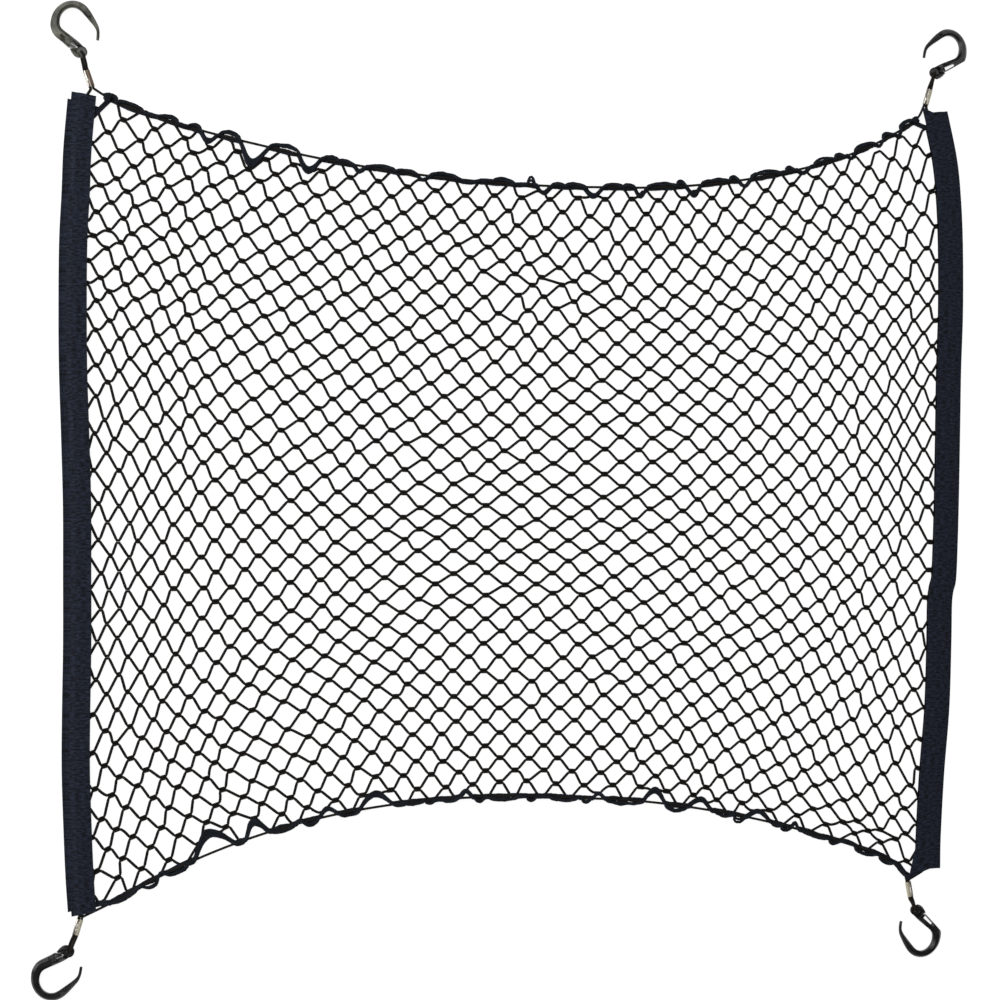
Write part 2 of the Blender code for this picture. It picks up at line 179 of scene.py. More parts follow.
# Joints, (x, y) in mm: seven evenly counted rows from the foot to the head, and in each row
# seven evenly counted joints from the left side to the right side.
JOINT_SPANS = 6
JOINTS_MM = (
    ((-378, -361), (-254, -305), (-131, -277), (-5, -271), (128, -282), (253, -308), (396, -365)),
    ((-394, -237), (-283, -209), (-145, -179), (-3, -175), (138, -184), (271, -215), (390, -256)),
    ((-387, -102), (-289, -100), (-154, -89), (0, -83), (149, -94), (289, -114), (403, -136)),
    ((-390, 23), (-287, 16), (-152, 3), (3, -1), (157, -3), (296, -12), (412, -15)),
    ((-392, 152), (-281, 122), (-140, 99), (5, 88), (156, 89), (297, 98), (402, 105)),
    ((-383, 245), (-266, 218), (-129, 194), (11, 181), (150, 180), (288, 203), (412, 217)),
    ((-367, 342), (-242, 310), (-117, 288), (19, 277), (145, 282), (276, 304), (394, 356)),
)
# Places where the netting is pulled out of its rows. Columns: half meshes across and up, how
# far the pull spreads in half meshes, and the pull in mm to the right and towards the head.
PULLS = (
    (57.5, 48.0, 2.6, 1.0, -8.0),
    (56.5, 4.0, 2.4, 1.5, -9.0),
    (4.5, 27.5, 1.2, -4.6, -1.0),
    (2.0, 39.0, 1.0, 1.7, 4.4),
    (60.0, 25.0, 1.0, -4.3, 4.7),
    (59.5, 10.5, 1.2, 0.0, 5.0),
    (59.5, 6.5, 1.2, 4.0, -7.0),
    (2.0, 1.0, 1.0, 1.8, 4.4),
    (61.5, 50.0, 1.6, 2.0, -12.0),
)
ROUGH_PATCH = (32.0, 41.5, 4.0, 1.8 * MM)  # across, up, spread in half meshes, unevenness
UNEVENNESS = 1.05 * MM
UNEVENNESS_AT_BANDS = 1.6 * MM
UNEVEN_MARGIN = 10  # half meshes over which the bands' unevenness fades
OWN_UNEVENNESS = 0.47  # weight of what moves one joint alone
SHARED_UNEVENNESS = 0.88  # and of what moves neighbours together
TOGETHER = 5  # half meshes, each way, that move together
NETTING_SEED = 11
# The cord line: the marked places of the bands' inner edges and of the head and foot, in mm.
MARKS = (-1.0, -0.5, 0.0, 0.5, 1.0)
MARKED_PLACES_MM = (
    ((-371, -361), (-191, -288), (-2, -271), (196, -294), (372, -349)),
    ((-375, -180), (-221, -151), (-2, -134), (213, -157), (384, -207)),
    ((-376, 32), (-223, 9), (2, 0), (230, -7), (393, -14)),
    ((-378, 204), (-206, 165), (9, 140), (225, 149), (399, 169)),
    ((-368, 347), (-178, 297), (16, 279), (214, 292), (386, 358)),
)
EDGE_REACH = 1.06  # how far the lines along head and foot are drawn
BAND_REACH = 1.03  # and those along the bands, where the marks end at 1
EDGE_STEPS = 120
BAND_STEPS = 60
# Folds from left to right. Columns, all in mm: where it starts and ends, counted from the middle
# of the net; how far it stands outwards; and the opening between it and the cord.
FOLDS = {
    "head": (1, (
        (-364, -353, 3.5, 0), (-352, -331, 3.5, 0), (-317, -301, 4, 0), (-292, -282, 3.5, 0),
        (-282, -267, -7, 0), (-266, -248, 5.5, 0), (-248, -222, -16, 0), (-222, -197, 5.5, 1),
        (-197, -176, -12, 0), (-175, -162, 4, 2.5), (-162, -151, 2, 0), (-149, -137, -4.5, 1),
        (-135, -112, 3.5, 2), (-110, -94, 2, 0), (-93, -80, -3.5, 0), (-80, -57, 4.5, 2.5),
        (-56, -37, -2.5, 0), (-37, -24, 1.5, 0), (-24, -5, 3.5, 0), (-4, 7, 1, 2),
        (8, 14, 7, 0), (15, 30, -6, 0), (30, 41, 3, 2), (42, 58, 2.5, 0),
        (59, 77, -7.5, 0), (78, 95, 3.5, 2.5), (96, 106, 2.5, 0), (106, 118, -7.5, 1),
        (118, 146, 3.5, 0), (146, 154, 5, 0), (154, 169, -8, 0), (169, 195, 3.5, 0),
        (196, 204, 4.5, 0), (204, 216, -5.5, 1), (216, 243, 4.5, 0), (250, 257, 4.5, 0),
        (259, 273, -4, 0), (276, 296, 3.5, 0), (297, 305, 4, 0), (308, 316, -3.5, 0),
        (316, 335, 4, 0), (335, 343, -3.5, 0), (344, 352, 4.5, 0), (354, 361, -3.5, 0),
        (361, 374, 4, 0),
    )),
    "foot": (-1, (
        (-396, -357, -8, 0), (-356, -336, 2.5, 0), (-331, -319, 6, 4), (-318, -311, -2.5, 0),
        (-311, -293, 5, 3), (-293, -287, 1.5, 1.5), (-287, -251, -16, 0), (-251, -244, 2, 1.5),
        (-243, -222, -12, 0), (-220, -201, 3, 0), (-199, -192, -2, 0), (-192, -180, 4, 0),
        (-179, -162, -6, 0), (-161, -144, 4, 2.5), (-144, -113, -11, 0), (-113, -102, 2, 2),
        (-102, -86, 1.5, 0), (-85, -77, 2.5, 0), (-69, -56, 3, 2), (-54, -42, -5.5, 0),
        (-40, -32, 3.5, 0), (-27, -2, 3, 0), (7, 15, 3.5, 0), (29, 53, 3, 0),
        (58, 65, 3.5, 0), (67, 79, -4.5, 0), (80, 114, 4, 2), (114, 135, -11, 2),
        (135, 155, 5.5, 2.5), (156, 179, -8, 0), (182, 198, 3.5, 2.5), (200, 210, 5.5, 0),
        (211, 234, -7, 0), (236, 245, 2.5, 2.5), (245, 254, 4, 0), (254, 261, -4.5, 1),
        (267, 288, 3, 2), (292, 300, 4.5, 0), (301, 315, -2, 0), (316, 336, 5, 3),
        (340, 354, 4, 0), (355, 369.5, 1, 0),
    )),
}
# How far the cord lies inside its line, (x, inwards) in mm, from left to right.
EDGE_TRIM_MM = {
    "head": (
        (-365, 0), (-345, 2), (-290, 1.5), (-230, 0), (80, 0), (130, 1.3), (260, 1.3),
        (330, 1.5), (372, 0),
    ),
    "foot": (
        (-300, 0), (60, 0), (110, 1.6), (180, 1.6), (230, 1.2), (290, 0), (345, 0),
        (358, -3), (370, -10), (377, 0),
    ),
}
# How much of a fold's hang the netting's first rows of joints share.
HANG_SHARES = (0.9, 0.35, 0.1)
DYE_PATCHES = 90.0  # per metre: the thread's dye is uneven in patches of about 11 mm
HANGING_SHARPNESS = 1.3  # of the bend of a fold that hangs inside
STANDING_SHARPNESS = 0.45  # and of one that stands out, which is flatter on top


def mark_weights(at):
    """Weight of each mark in the smooth curve through all five of them."""
    return [
        math.prod((at - other) / (mark - other) for other in MARKS if other != mark)
        for mark in MARKS
    ]


def on_net(across, up):
    """Place between the bands, across from -1 to 1, and up from -1 at the foot to 1 at the head."""
    place = Vector((0.0, 0.0))
    for row_weight, row in zip(mark_weights(up), MARKED_PLACES_MM):
        for weight, mark in zip(mark_weights(across), row):
            place += Vector(mark) * MM * row_weight * weight
    return place


def rounded(values, at):
    """The rounded curve through evenly counted values, at a place counted from the first."""
    padded = [values[0] * 2 - values[1], *values, values[-1] * 2 - values[-2]]
    start = min(int(at), len(values) - 2)
    t = at - start
    before, first, second, after = padded[start:start + 4]
    curve = (before * 2 - first * 5 + second * 4 - after) * t * t
    twist = (first * 3 - before - second * 3 + after) * t * t * t
    return (first * 2 + (second - before) * t + curve + twist) / 2


def lift(place, height):
    """A place on the plan, at a height."""
    return Vector((place.x, place.y, height))


def add_tube(bm, route, radius, sides):
    """A round strand along a route, its ends closed. UV: along it and round it, in metres."""
    layer = bm.loops.layers.uv.verify()
    tangents = [(b - a).normalized() for a, b in zip([route[0], *route], [*route[1:], route[-1]])]
    normal = Vector((0.0, 0.0, 1.0))
    rings = []
    lengths = [0.0]
    for index, (place, tangent) in enumerate(zip(route, tangents)):
        if index:
            lengths.append(lengths[-1] + (place - route[index - 1]).length)
            normal = tangents[index - 1].rotation_difference(tangent) @ normal
        normal = (normal - tangent * normal.dot(tangent)).normalized()
        side = tangent.cross(normal)
        ring = []
        for step in range(sides):
            angle = math.tau * (step + 0.5) / sides
            out = side * math.sin(angle) + normal * math.cos(angle)
            ring.append(bm.verts.new(place + out * radius))
        rings.append(ring)
    for index, (ring, following) in enumerate(zip(rings, rings[1:])):
        for step in range(sides):
            after = (step + 1) % sides
            face = bm.faces.new((ring[step], ring[after], following[after], following[step]))
            face.smooth = True
            around = math.tau * radius / sides
            corners = ((index, step), (index, step + 1), (index + 1, step + 1), (index + 1, step))
            for loop, (along, turn) in zip(face.loops, corners):
                loop[layer].uv = (lengths[along], turn * around)
    bm.faces.new(reversed(rings[0]))
    bm.faces.new(rings[-1])


def add_piece(name, bm, material):
    """Close the bmesh into a piece that rides on the net's one body."""
    bmesh.ops.recalc_face_normals(bm, faces=bm.faces)
    mesh = bpy.data.meshes.new(name)
    bm.to_mesh(mesh)
    bm.free()
    mesh.materials.append(material)
    thing = add_object(name, mesh)
    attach(thing, "root")
    return thing


def finish_material(node, shader, tint, dark, light, relief, strength, depth):
    """Give the shader a colour between dark and light, and a relief."""
    links = shader.id_data.links
    colour = node("Mix", {0: tint, 6: srgb(dark), 7: srgb(light)}, data_type="RGBA")
    bump = node("Bump", {"Strength": strength, "Distance": depth, "Height": relief})
    links.new(colour.outputs[2], shader.inputs["Base Color"])
    links.new(bump.outputs[0], shader.inputs["Normal"])


def thread_material(name, dark, light, pitch, girth, ribs, roughness):
    """Knitted or braided thread: slanting ribs both ways round it, and uneven dye."""
    values = {"Roughness": roughness, "Specular IOR Level": 0.16}
    material, node, shader = new_material(name, values)
    coordinates = node("TexCoord").outputs
    along, around, _ = node("SeparateXYZ", {0: coordinates["UV"]}).outputs
    along = node("Math", {0: along, 1: math.tau / pitch}, operation="MULTIPLY")
    around = node("Math", {0: around, 1: math.tau * ribs / girth}, operation="MULTIPLY")
    slants = []
    for operation in ("ADD", "SUBTRACT"):
        phase = node("Math", {0: along, 1: around}, operation=operation)
        slants.append(node("Math", {0: phase}, operation="SINE"))
    stitch = node("Math", {0: slants[0], 1: slants[1]}, operation="MAXIMUM")
    stitch = node("MapRange", {"Value": stitch, "From Min": -1.0})
    body = coordinates["Object"]
    dye = node("TexNoise", {"Vector": body, "Scale": DYE_PATCHES, "Detail": 3.0})
    shade = node("Math", {0: stitch, 1: dye}, operation="MULTIPLY")
    finish_material(
        node, shader, shade, dark, light, relief=stitch, strength=0.6, depth=0.15 * MM
    )
    return material


# Dull black polyester, a little brown where light catches the stitches, which are drawn about
# twice as coarse as real ones.
netting_black = thread_material(
    "knotless_knitted_polyester",
    dark="#050404",
    light="#2a2621",
    pitch=1.3 * MM,
    girth=math.pi * STRAND_DIAMETER,
    ribs=2,
    roughness=0.8,
)
rand = np.random.default_rng(NETTING_SEED)
columns = HALF_MESHES_ACROSS + 2 * HIDDEN_HALF_MESHES + 1
rows = HALF_MESHES_UP + 1
own = rand.normal(size=(columns, rows, 2))
loose = rand.normal(size=(columns + TOGETHER - 1, rows + TOGETHER - 1, 2))
windows = [(x, y) for x in range(TOGETHER) for y in range(TOGETHER)]
shared = sum(loose[x:x + columns, y:y + rows] for x, y in windows) / TOGETHER
uneven = OWN_UNEVENNESS * own + SHARED_UNEVENNESS * shared
bows = rand.normal(size=(columns, rows, 2))
edge_lines = {}
for end, (head, _) in FOLDS.items():
    line = [on_net(x, head) for x in np.linspace(-EDGE_REACH, EDGE_REACH, EDGE_STEPS + 1)]
    trim_x, trim = zip(*EDGE_TRIM_MM[end])
    edge_lines[head] = (
        [place.x for place in line],
        [place.y - head * float(np.interp(place.x / MM, trim_x, trim)) * MM for place in line],
    )
band_lines = {}
for side in (-1, 1):
    line = [on_net(side, y) for y in np.linspace(-BAND_REACH, BAND_REACH, BAND_STEPS + 1)]
    band_lines[side] = ([place.y for place in line], [place.x for place in line])


def fold_at(end, x):
    """The fold at a place along the head or foot: its reach in mm, its opening, and the swell."""
    for start, finish, reach, opening in FOLDS[end][1]:
        share = (x / MM - start) / (finish - start)
        if 0.0 < share < 1.0:
            swell = math.sin(math.pi * share)
            return reach, opening, swell ** (HANGING_SHARPNESS if reach < 0 else STANDING_SHARPNESS)
    return 0.0, 0.0, 0.0


def joint_place(across, up):
    """A joint's place, counted in half meshes, with its row's unevenness and pulls."""
    spans = across / HALF_MESHES_ACROSS * JOINT_SPANS
    lines = [rounded([Vector(joint) * MM for joint in row], spans) for row in JOINTS_MM]
    place = rounded(lines, up / HALF_MESHES_UP * JOINT_SPANS)
    from_end = min(up, HALF_MESHES_UP - up)
    if from_end < len(HANG_SHARES):
        end, head, row = ("foot", -1, 0) if up == from_end else ("head", 1, JOINT_SPANS)
        end_place = rounded(lines, row)
        off_line = np.interp(end_place.x, *edge_lines[head]) - end_place.y
        place.y += off_line * (1 - from_end / len(HANG_SHARES))
        reach, _, swell = fold_at(end, place.x)
        if reach < 0:
            place.y += reach * swell * HANG_SHARES[from_end] * head * MM
    from_band = min(across, HALF_MESHES_ACROSS - across)
    near_band = max(0.0, 1 - from_band / UNEVEN_MARGIN)
    spread = UNEVENNESS + (UNEVENNESS_AT_BANDS - UNEVENNESS) * near_band
    middle_across, middle_up, reach, extra = ROUGH_PATCH
    distance = math.hypot(across - middle_across, up - middle_up) / reach
    spread += extra * math.exp(-distance * distance)
    if from_end == 0:
        spread = 0.0
    place += Vector(uneven[across + HIDDEN_HALF_MESHES, up]) * spread
    for pull_across, pull_up, reach, right, head in PULLS:
        distance = math.hypot(across - pull_across, up - pull_up) / reach
        place += Vector((right, head)) * MM * math.exp(-distance * distance)
    return place


def band_reach(place):
    """How far a place lies out past the nearer band's inner edge."""
    side = -1 if place.x < 0 else 1
    return (place.x - np.interp(place.y, *band_lines[side])) * side


def bend(start, leave, end, arrive, share):
    """A place on the rounded run between two places, with its handles given as vectors."""
    rest = 1.0 - share
    near_start = start * rest ** 3 + (start + leave) * 3 * share * rest ** 2
    return near_start + (end - arrive) * 3 * share ** 2 * rest + end * share ** 3


first = -HIDDEN_HALF_MESHES
last = HALF_MESHES_ACROSS + HIDDEN_HALF_MESHES
joints = {}
for up in range(HALF_MESHES_UP + 1):
    for across in range(first, last + 1):
        if (across + up) % 2:
            joints[across, up] = joint_place(across, up)

bm = bmesh.new()
for strand in range(HALF_MESHES_UP):
    passes = []
    for across in range(first, last + 1):
        low = (across + strand) % 2 == 1
        up = strand if low else strand + 1
        before = joints.get((across - 2, up), joints[across, up])
        after = joints.get((across + 2, up), joints[across, up])
        along = (after - before).normalized()
        square = Vector((-along.y, along.x)) * (JOINT_OFFSET if low else -JOINT_OFFSET)
        crowding = min(1.0, (after - before).length / OPEN_SPAN) ** CROWDING_EFFECT
        passes.append((joints[across, up] + square, along, crowding))
    route = []
    for number, (one, other) in enumerate(zip(passes, passes[1:])):
        (start, leave, leave_share), (end, arrive, arrive_share) = one, other
        start = start + leave * JOINT_HALF_LENGTH * leave_share
        end = end - arrive * JOINT_HALF_LENGTH * arrive_share
        gap = (end - start).length
        bow, variation = bows[number, strand]
        length = LEG_LENGTH + LEG_VARIATION * variation - 2 * JOINT_HALF_LENGTH
        slack = min(SLACK_LIMIT, max(0.0, length / gap - 1.0 - EXCESS_TAKEN_UP))
        depth = gap * math.sqrt(slack * 3 / 8) * BOW_HANDLES * math.copysign(1.0, bow)
        lean = Vector((start.y - end.y, end.x - start.x)).normalized() * depth
        leave = leave * JOINT_BEND * leave_share + lean
        arrive = arrive * JOINT_BEND * arrive_share - lean
        for share in SLACK_RINGS if slack > SLACK_SHOWN else TAUT_RINGS:
            route.append(bend(start, leave, end, arrive, share))
    raised = []
    for place in route:
        reach = band_reach(place)
        share = min(1.0, max(0.0, 1.0 + reach / RISE_LENGTH))
        height = STRAND_HEIGHT + (HEIGHT_IN_BAND - STRAND_HEIGHT) * share * share * (3 - 2 * share)
        if reach < REACH_IN_BAND:
            raised.append(lift(place, height) + CENTRING)
    add_tube(bm, raised, STRAND_DIAMETER / 2, STRAND_SIDES)
netting = add_piece("netting", bm, netting_black)
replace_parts(netting, "net")

# ---------------------------------------------------------------------------------------------
# The selvedges. The netting's knitted edge at the head and the foot: a flat edging of four
# heavy strands, gathered along the elastic cord in small folds that stand out past it or hang
# inside. A cord knot holds each end.
SELVEDGE_STRAND = 2.5 * MM
SELVEDGE_SIDES = 8
SELVEDGE_STEP = 1.4 * MM
SELVEDGE_LUMPS = 0.3 * MM
LUMP_STEPS = 5  # over which the lumps are evened out
LUMP_SCALE = 2.2  # what brings them back to a spread of about one
SELVEDGE_SEED = 23
SLOPE_REACH = 2 * MM  # over which the edge's direction is taken
SELVEDGE_ENDS_MM = {"head": (-364, 374), "foot": (-381, 369.5)}
OPEN_SPACING = 4.0  # in mm, of the outer strands of an open fold, per share of reach
CORD_CLEARANCE = 1.9 * MM  # between the middles of the cord and of a strand that crosses it
CORD_HEIGHT = 3.2 * MM
FOLD_DROP = 1.2 * MM  # how far down a fold lies where it is clear of the cord
FOLD_SLOPE = 0.7  # how steeply it goes down to there
# Where each of the four strands lies, outwards from the cord: in a plain run, and in a fold,
# as a share of the fold's reach and a distance added to it. Columns: plain, share in a fold
# that stands out, added there, share in one that hangs inside.
SELVEDGE_STRANDS = (
    (0.4 * MM, 1.0, 0.6 * MM, 0.84),
    (0.0, 0.64, 0.3 * MM, 0.97),
    (-0.6 * MM, 0.28, -0.3 * MM, 1.1),
    (-1.5 * MM, 0.0, -1.4 * MM, 1.22),
)
# Where the edging runs from a knot into the band, as (x, y) in mm, knot first.
TIES_MM = {
    "head": (((-360, 341), (-366, 335), (-378, 322)), ((375, 348), (383, 345), (393, 343))),
    "foot": (),
}
TIE_HEIGHTS = (3.0 * MM, 2.6 * MM, 2.4 * MM)
TIE_OFFSET = SELVEDGE_STRAND * 0.42  # of each of a tie's two strands from its middle
# The knots. Columns: x in mm, turns of strand, length in mm, and how far it bulges.
KNOTS = {"head": ((-360, 3, 5.0, 1.0), (375.5, 3, 5.0, 0.35)), "foot": ((368.0, 2, 3.0, 0.0),)}
STEPS_PER_TURN = 14

# Dull navy-black, bluer than the netting, with its stitches drawn coarser than real ones.
selvedge_navy = thread_material(
    "heavy_knitted_polyester",
    dark="#07090c",
    light="#272d38",
    pitch=1.6 * MM,
    girth=math.pi * SELVEDGE_STRAND,
    ribs=3,
    roughness=0.8,
)
rand = np.random.default_rng(SELVEDGE_SEED)
for end, (head, _) in FOLDS.items():
    xs, ys = edge_lines[head]
    start, finish = (limit * MM for limit in SELVEDGE_ENDS_MM[end])
    steps = round((finish - start) / SELVEDGE_STEP)
    bm = bmesh.new()
    for plain, outer_share, added, inner_share in SELVEDGE_STRANDS:
        lumps = rand.normal(size=steps + LUMP_STEPS)
        lumps = np.convolve(lumps, np.ones(LUMP_STEPS) / LUMP_STEPS, "valid") * LUMP_SCALE
        route = []
        for step in range(steps + 1):
            x = start + (finish - start) * step / steps
            y, ahead, behind = (
                float(np.interp(x + off, xs, ys)) for off in (0.0, SLOPE_REACH, -SLOPE_REACH)
            )
            outwards = Vector((behind - ahead, 2 * SLOPE_REACH)).normalized() * head
            fold_reach, opening, swell = fold_at(end, x)
            full = plain
            if fold_reach < 0:
                full = fold_reach * inner_share * MM
            elif opening and outer_share > 0.5:
                full = (fold_reach - (1.0 - outer_share) * OPEN_SPACING) * MM
            elif fold_reach > 0:
                full = fold_reach * outer_share * MM + added
            reach = plain + (full - plain) * swell + SELVEDGE_LUMPS * float(lumps[step])
            rise = math.sqrt(max(0.0, CORD_CLEARANCE ** 2 - reach ** 2))
            drop = min(FOLD_DROP, max(0.0, abs(reach) - CORD_CLEARANCE) * FOLD_SLOPE)
            height = CORD_HEIGHT - drop + (rise if plain >= 0.0 else -rise)
            place = Vector((x, y)) + outwards * reach
            route.append(lift(place, height) + CENTRING)
        add_tube(bm, route, SELVEDGE_STRAND / 2, SELVEDGE_SIDES)
    for tie in TIES_MM[end]:
        for beside in (-1, 1):
            points = [Vector(place) * MM for place in tie]
            square = (points[1] - points[0]).orthogonal().normalized() * beside * TIE_OFFSET
            route = [
                lift(place + square, height) + CENTRING
                for place, height in zip(points, TIE_HEIGHTS)
            ]
            add_tube(bm, route, SELVEDGE_STRAND / 2, SELVEDGE_SIDES)
    for knot_x, turns, length, bulge in KNOTS[end]:
        x = knot_x * MM
        slope = float(np.interp(x + MM, xs, ys) - np.interp(x - MM, xs, ys)) / (2 * MM)
        along = Vector((1.0, slope, 0.0)).normalized()
        across = Vector((-along.y, along.x, 0.0))
        middle = Vector((x, float(np.interp(x, xs, ys)), CORD_HEIGHT)) + CENTRING
        route = []
        for step in range(turns * STEPS_PER_TURN + 1):
            share = step / (turns * STEPS_PER_TURN)
            turn = math.tau * turns * share
            wide = CORD_CLEARANCE * (1.0 + bulge * math.sin(math.pi * share))
            place = middle + along * length * MM * (share - 0.5) + across * math.cos(turn) * wide
            route.append(place + Vector((0.0, 0.0, math.sin(turn) * CORD_CLEARANCE)))
        add_tube(bm, route, SELVEDGE_STRAND / 2, SELVEDGE_SIDES)
    add_piece(f"selvedge_{end}", bm, selvedge_navy)

# ---------------------------------------------------------------------------------------------
# The bands. Two woven polyester tapes on each side, one on top of the other, sewn together
# along the outer edge with the side of the netting between them. The ends are cut with a knife.
TAPE_THICKNESS = 0.8 * MM
TAPE_ROWS = 300
TAPE_COLUMNS = 16
TAPE_SMOOTHING = 6.0 * MM  # over which the edge's direction is taken
OUTER_EDGE_STEPS = 400
# Each band's outer edge, (x, y) in mm, from the foot to the head.
BAND_EDGES_MM = {
    "left": (
        (-394.5, -361), (-396.5, -331), (-398.1, -293), (-399.7, -240), (-399.5, -190),
        (-398.6, -130), (-398.6, -70), (-398.7, -10), (-400.2, 49), (-402.0, 108),
        (-402.4, 160), (-401.9, 218), (-399.8, 262), (-398.3, 300), (-394.6, 344),
    ),
    "right": (
        (400.4, -350), (401.0, -320), (404.3, -262), (409.5, -200), (411.5, -140),
        (412.1, -104), (413.4, -91), (416.3, -78), (418.0, -40), (419.3, 10),
        (420.4, 70), (421.2, 117), (423.1, 173), (423.0, 235), (421.0, 280), (417.0, 317),
        (407.7, 360),
    ),
}
# Each tape's underside. Rows: shares of its width from the inner edge, and heights there in mm.
TAPE_PROFILES = {
    "lower": ((0.0, 1.0), (0.0, 0.0)),
    "upper": ((0.0, 0.3, 0.48, 0.63, 0.84, 1.0), (3.7, 3.85, 3.85, 3.5, 1.5, 1.15)),
}
# The upper right tape's inner corners are drawn to where the cord forks. Columns: end, pull
# in mm, the share of the width and the length of tape that it draws, and how sharply.
CORNER_PULLS = (
    ("foot", (-8.0, -9.5), 0.55, 26.0 * MM, 1.2),
    ("head", (-1.8, 6.0), 0.38, 9.0 * MM, 1.2),
)
# Columns: side, layer, width in mm, how far its outer edge lies inside the band's, and how much
# longer it is than the band, in mm, at the foot's inner and outer corners and at the head's.
TAPES = (
    ("left", "upper", 21.2, 3.0, (0.4, 3.5, 2.4, 4.6)),
    ("left", "lower", 21.2, 0.0, (-4.0, -0.4, -5.0, -1.6)),
    ("right", "upper", 24.4, 0.0, (-1.0, 0.0, 2.4, 0.6)),
    ("right", "lower", 24.0, 0.2, (-8.0, -3.0, -8.0, -4.0)),
)
# Uneven dye along the ribs, per metre across and along: streaks of about 4.3 mm by 1.6 mm.
STREAKS = (230.0, 640.0, 1.0)
RIB_PITCH = 1.5 * MM  # along the tape, drawn about twice as coarse as real ribs
WARP_PITCH = 0.9 * MM  # across it

# Navy-black polyester: dull, ribbed across, with paler blue threads in short streaks.
values = {"Roughness": 0.85, "Specular IOR Level": 0.2}
tape_navy, node, shader = new_material("woven_polyester_tape", values)
uv = node("TexCoord").outputs["UV"]
across, along, _ = node("SeparateXYZ", {0: uv}).outputs
waves = []
for distance, pitch in ((along, RIB_PITCH), (across, WARP_PITCH)):
    phase = node("Math", {0: distance, 1: math.tau / pitch}, operation="MULTIPLY")
    waves.append(node("Math", {0: phase}, operation="SINE"))
weave = node("Math", {0: waves[0], 1: waves[1]}, operation="MULTIPLY")
weave = node("MapRange", {"Value": weave, "From Min": -1.0})
streaks = node("VectorMath", {0: uv, 1: STREAKS}, operation="MULTIPLY")
dye = node("TexNoise", {"Vector": streaks, "Scale": 1.0, "Detail": 3.0})
dye = node("MapRange", {"Value": dye, "From Min": 0.36, "From Max": 0.68})
shade = node("Math", {0: weave, 1: dye}, operation="MULTIPLY")
finish_material(
    node, shader, shade, "#070a10", "#374056", relief=weave, strength=0.5, depth=0.2 * MM
)


def edge_place(line, at):
    """The place at a length along a band's outer edge, given as lengths, x and y."""
    lengths, xs, ys = line
    return Vector((float(np.interp(at, lengths, xs)), float(np.interp(at, lengths, ys))))


for side_name, layer_name, width, inset, ends in TAPES:
    side = -1 if side_name == "left" else 1
    edge = [Vector(place) * MM for place in BAND_EDGES_MM[side_name]]
    spans = len(edge) - 1
    fine = [
        rounded(edge, spans * step / OUTER_EDGE_STEPS) for step in range(OUTER_EDGE_STEPS + 1)
    ]
    lengths = np.cumsum([0.0] + [(b - a).length for a, b in zip(fine, fine[1:])])
    line = (lengths, [place.x for place in fine], [place.y for place in fine])
    foot_inner, foot_outer, head_inner, head_outer = (end * MM for end in ends)
    bm = bmesh.new()
    layer = bm.loops.layers.uv.verify()
    uvs = {}
    grids = []
    for thickness in (0.0, TAPE_THICKNESS):
        grid = []
        for row in range(TAPE_ROWS + 1):
            corners = []
            for column in range(TAPE_COLUMNS + 1):
                share = column / TAPE_COLUMNS
                start = -foot_inner - (foot_outer - foot_inner) * share
                finish = lengths[-1] + head_inner + (head_outer - head_inner) * share
                at = start + (finish - start) * row / TAPE_ROWS
                on_edge = min(max(at, 0.0), lengths[-1])
                behind = edge_place(line, on_edge - TAPE_SMOOTHING)
                along = (edge_place(line, on_edge + TAPE_SMOOTHING) - behind).normalized()
                inwards = Vector((-along.y, along.x)) * side
                from_edge = (inset + width * (1.0 - share)) * MM
                place = edge_place(line, on_edge) + along * (at - on_edge) + inwards * from_edge
                height = float(np.interp(share, *TAPE_PROFILES[layer_name])) * MM
                for end, drawn, pull_width, pull_length, sharpness in CORNER_PULLS:
                    from_cut = at - start if end == "foot" else finish - at
                    pull = max(0.0, 1 - share / pull_width) * max(0.0, 1 - from_cut / pull_length)
                    if side_name == "right" and layer_name == "upper":
                        place += Vector(drawn) * MM * pull ** sharpness
                corner = bm.verts.new(lift(place, height + thickness) + CENTRING)
                uvs[corner] = (share * width * MM, at)
                corners.append(corner)
            grid.append(corners)
        grids.append(grid)
    lower, upper = grids
    strips = [*zip(lower, lower[1:]), *zip(upper, upper[1:])]
    for edge_column in (0, -1):
        strips.append([[row[edge_column] for row in grid] for grid in grids])
    for edge_row in (0, -1):
        strips.append((lower[edge_row], upper[edge_row]))
    for low, high in strips:
        for corners in zip(low, low[1:], high[1:], high):
            bm.faces.new(corners)
    for face in bm.faces:
        for loop in face.loops:
            loop[layer].uv = uvs[loop.vert]
    tape = add_piece(f"webbing_{side_name}_{layer_name}", bm, tape_navy)
    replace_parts(tape, f"tape_{side_name}_{layer_name}")

# ---------------------------------------------------------------------------------------------
# The elastic cord. Rubber cord in a braided black cover: one long run through the edge meshes
# at the head and the foot, and at each corner a short run into the band and a loop to the hook.
CORD_DIAMETER = 2.2 * MM
LOOP_DIAMETER = 2.6 * MM  # where the cord is slack and its cover bunches up
CORD_SIDES = 14
FERRULE_Z = 2.3 * MM  # of the middles of the ferrules and of the cord in them
CORD_PAIR_SPACING = 2.5 * MM  # between the middles of the two runs that leave a ferrule
CORD_LEAD = 1.8 * MM  # straight out of a ferrule
CORD_FIRST_KNOT = 0.965  # where it meets the edge, as a share of the net's half width
CORD_NET_POINTS = 25
# Where each short run goes into its band, in mm from the band's inner edge; where it lies further
# in; and how far it runs up the band, as a share of the net's half height.
BAND_ENTRIES = {"top_left": 8.5, "top_right": 2.5, "bottom_right": 11.0, "bottom_left": 11.0}
CORD_TUNNEL = 11.0 * MM
CORD_IN_BAND = 0.045
BAND_STEP = 1.0 / HALF_MESHES_UP
